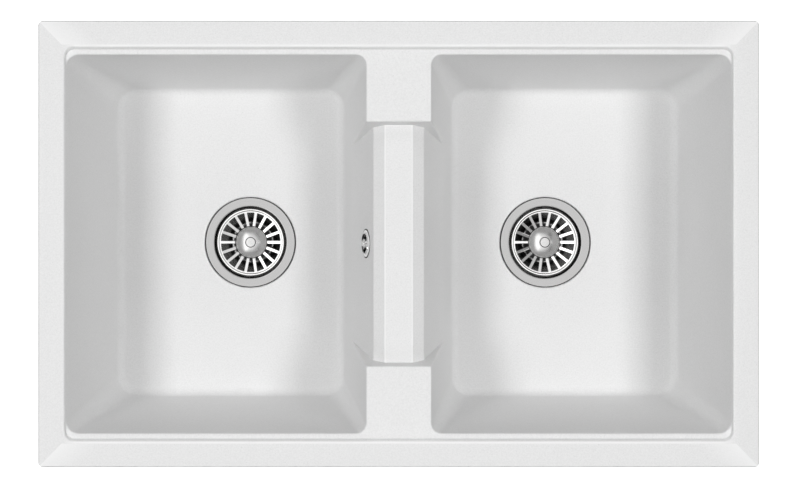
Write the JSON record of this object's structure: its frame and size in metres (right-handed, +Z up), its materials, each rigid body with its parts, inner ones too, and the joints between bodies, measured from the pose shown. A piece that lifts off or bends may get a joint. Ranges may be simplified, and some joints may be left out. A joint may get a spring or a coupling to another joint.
{
  "type": "kitchen sink",
  "caption": "Inset kitchen sink of white stone composite: two drafted bowls either side of a low saddle, bevelled rim, lift-out basket strainers, overflow and worktop clamps.",
  "frame": {"origin": "middle of the rim's underside, at the level of the worktop's top face", "axes": "+X to the right bowl, +Y to the back, +Z up out of the bowls"},
  "size_m": [0.809, 0.501, 0.2925],
  "materials": {
    "white_composite": "satin, finely speckled",
    "steel": "polished",
    "chrome": "polished",
    "black_rubber": "matt",
    "grey_foam": "matt",
    "white_plastic": "satin",
    "grey_plastic": "satin",
    "brass": "turned",
    "zinc_steel": "zinc plated"
  },
  "bodies": {
    "basin": {"sink_basin": "white_composite", "rim_seal_strip": "grey_foam", "left_strainer_cup": "steel", "left_cup_seal": "black_rubber", "left_body_seal": "black_rubber", "left_waste_body": "white_plastic", "left_waste_outlet": "white_plastic", "left_clamp_bolt": "steel", "left_bolt_nut": "brass", "right_strainer_cup": "steel", "right_cup_seal": "black_rubber", "right_body_seal": "black_rubber", "right_waste_body": "white_plastic", "right_waste_outlet": "white_plastic", "right_clamp_bolt": "steel", "right_bolt_nut": "brass", "overflow_rosette": "chrome", "overflow_screw": "steel", "overflow_seal": "black_rubber", "overflow_elbow": "white_plastic", "overflow_hose": "grey_plastic", "hose_clips": "zinc_steel", "clamp_inserts": "brass", "clamp_screws": "zinc_steel"},
    "left_strainer": {"left_basket": "steel", "left_basket_dome": "steel", "left_basket_stem": "steel", "left_basket_stopper": "black_rubber"},
    "right_strainer": {"right_basket": "steel", "right_basket_dome": "steel", "right_basket_stem": "steel", "right_basket_stopper": "black_rubber"},
    "clamp_back_left": {"clamp_back_left": "zinc_steel"},
    "clamp_back_right": {"clamp_back_right": "zinc_steel"},
    "clamp_front_left": {"clamp_front_left": "zinc_steel"},
    "clamp_front_right": {"clamp_front_right": "zinc_steel"},
    "clamp_left_end": {"clamp_left_end": "zinc_steel"},
    "clamp_right_end": {"clamp_right_end": "zinc_steel"}
  },
  "joints": [
    {"name": "left_strainer_lift", "type": "slide", "parent": "basin", "child": "left_strainer", "axis": [0, 0, 1], "range_m": [0, 0.25]},
    {"name": "right_strainer_lift", "type": "slide", "parent": "basin", "child": "right_strainer", "axis": [0, 0, 1], "range_m": [0, 0.25]},
    {"name": "clamp_back_left_swing", "type": "hinge", "parent": "basin", "child": "clamp_back_left", "pos_m": [-0.205, 0.22535, -0.049], "axis": [0, 0, 1], "range_deg": [0, 90]},
    {"name": "clamp_back_right_swing", "type": "hinge", "parent": "basin", "child": "clamp_back_right", "pos_m": [0.205, 0.22535, -0.049], "axis": [0, 0, 1], "range_deg": [0, 90]},
    {"name": "clamp_front_left_swing", "type": "hinge", "parent": "basin", "child": "clamp_front_left", "pos_m": [-0.205, -0.22535, -0.049], "axis": [0, 0, 1], "range_deg": [0, 90]},
    {"name": "clamp_front_right_swing", "type": "hinge", "parent": "basin", "child": "clamp_front_right", "pos_m": [0.205, -0.22535, -0.049], "axis": [0, 0, 1], "range_deg": [0, 90]},
    {"name": "clamp_left_end_swing", "type": "hinge", "parent": "basin", "child": "clamp_left_end", "pos_m": [-0.386, 0, -0.049], "axis": [0, 0, 1], "range_deg": [0, 90]},
    {"name": "clamp_right_end_swing", "type": "hinge", "parent": "basin", "child": "clamp_right_end", "pos_m": [0.386, 0, -0.049], "axis": [0, 0, 1], "range_deg": [0, 90]}
  ]
}
